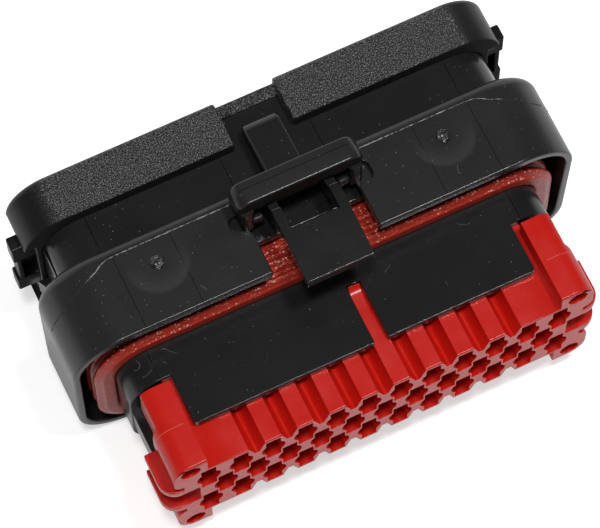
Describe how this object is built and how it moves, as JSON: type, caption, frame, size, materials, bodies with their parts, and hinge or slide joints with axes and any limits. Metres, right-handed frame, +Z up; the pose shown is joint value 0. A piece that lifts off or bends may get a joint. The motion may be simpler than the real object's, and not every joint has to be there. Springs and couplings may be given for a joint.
{
  "type": "sealed multi-way connector plug",
  "caption": "Rectangular sealed connector plug: black shroud with latch bridge and press lever, red wedge lock with contact openings, ribbed silicone seal, rear cap with wire entries.",
  "frame": {"origin": "middle of the plug's length and width, on the flat underside of the shroud", "axes": "+X along the contact rows, the mating face looks to -Y and the wires leave to +Y, +Z up to the latch"},
  "size_m": [0.0628, 0.038, 0.0329],
  "materials": {
    "housing_plastic": "satin black glass-filled polyester",
    "lever_plastic": "satin black glass-filled polyester",
    "cap_plastic": "spark-textured black polyester",
    "wedge_plastic": "red polyester, glossy",
    "seal_silicone": "brick red silicone rubber"
  },
  "bodies": {
    "housing": {"plug_housing": "housing_plastic", "plug_shroud": "housing_plastic", "interface_seal": "seal_silicone", "wire_seal": "seal_silicone", "rear_cap": "cap_plastic"},
    "wedge": {"wedge_lock": "wedge_plastic"},
    "lever": {"latch_lever": "lever_plastic"}
  },
  "joints": [
    {"name": "wedge_slide", "type": "slide", "parent": "housing", "child": "wedge", "axis": [0, -1, 0], "range_m": [0, 0.0025]},
    {"name": "lever_press", "type": "hinge", "parent": "housing", "child": "lever", "pos_m": [0, 0.00455, 0.02905], "axis": [-1, 0, 0], "range_deg": [0, 7], "stiffness_Nm_per_rad": 0.05}
  ]
}
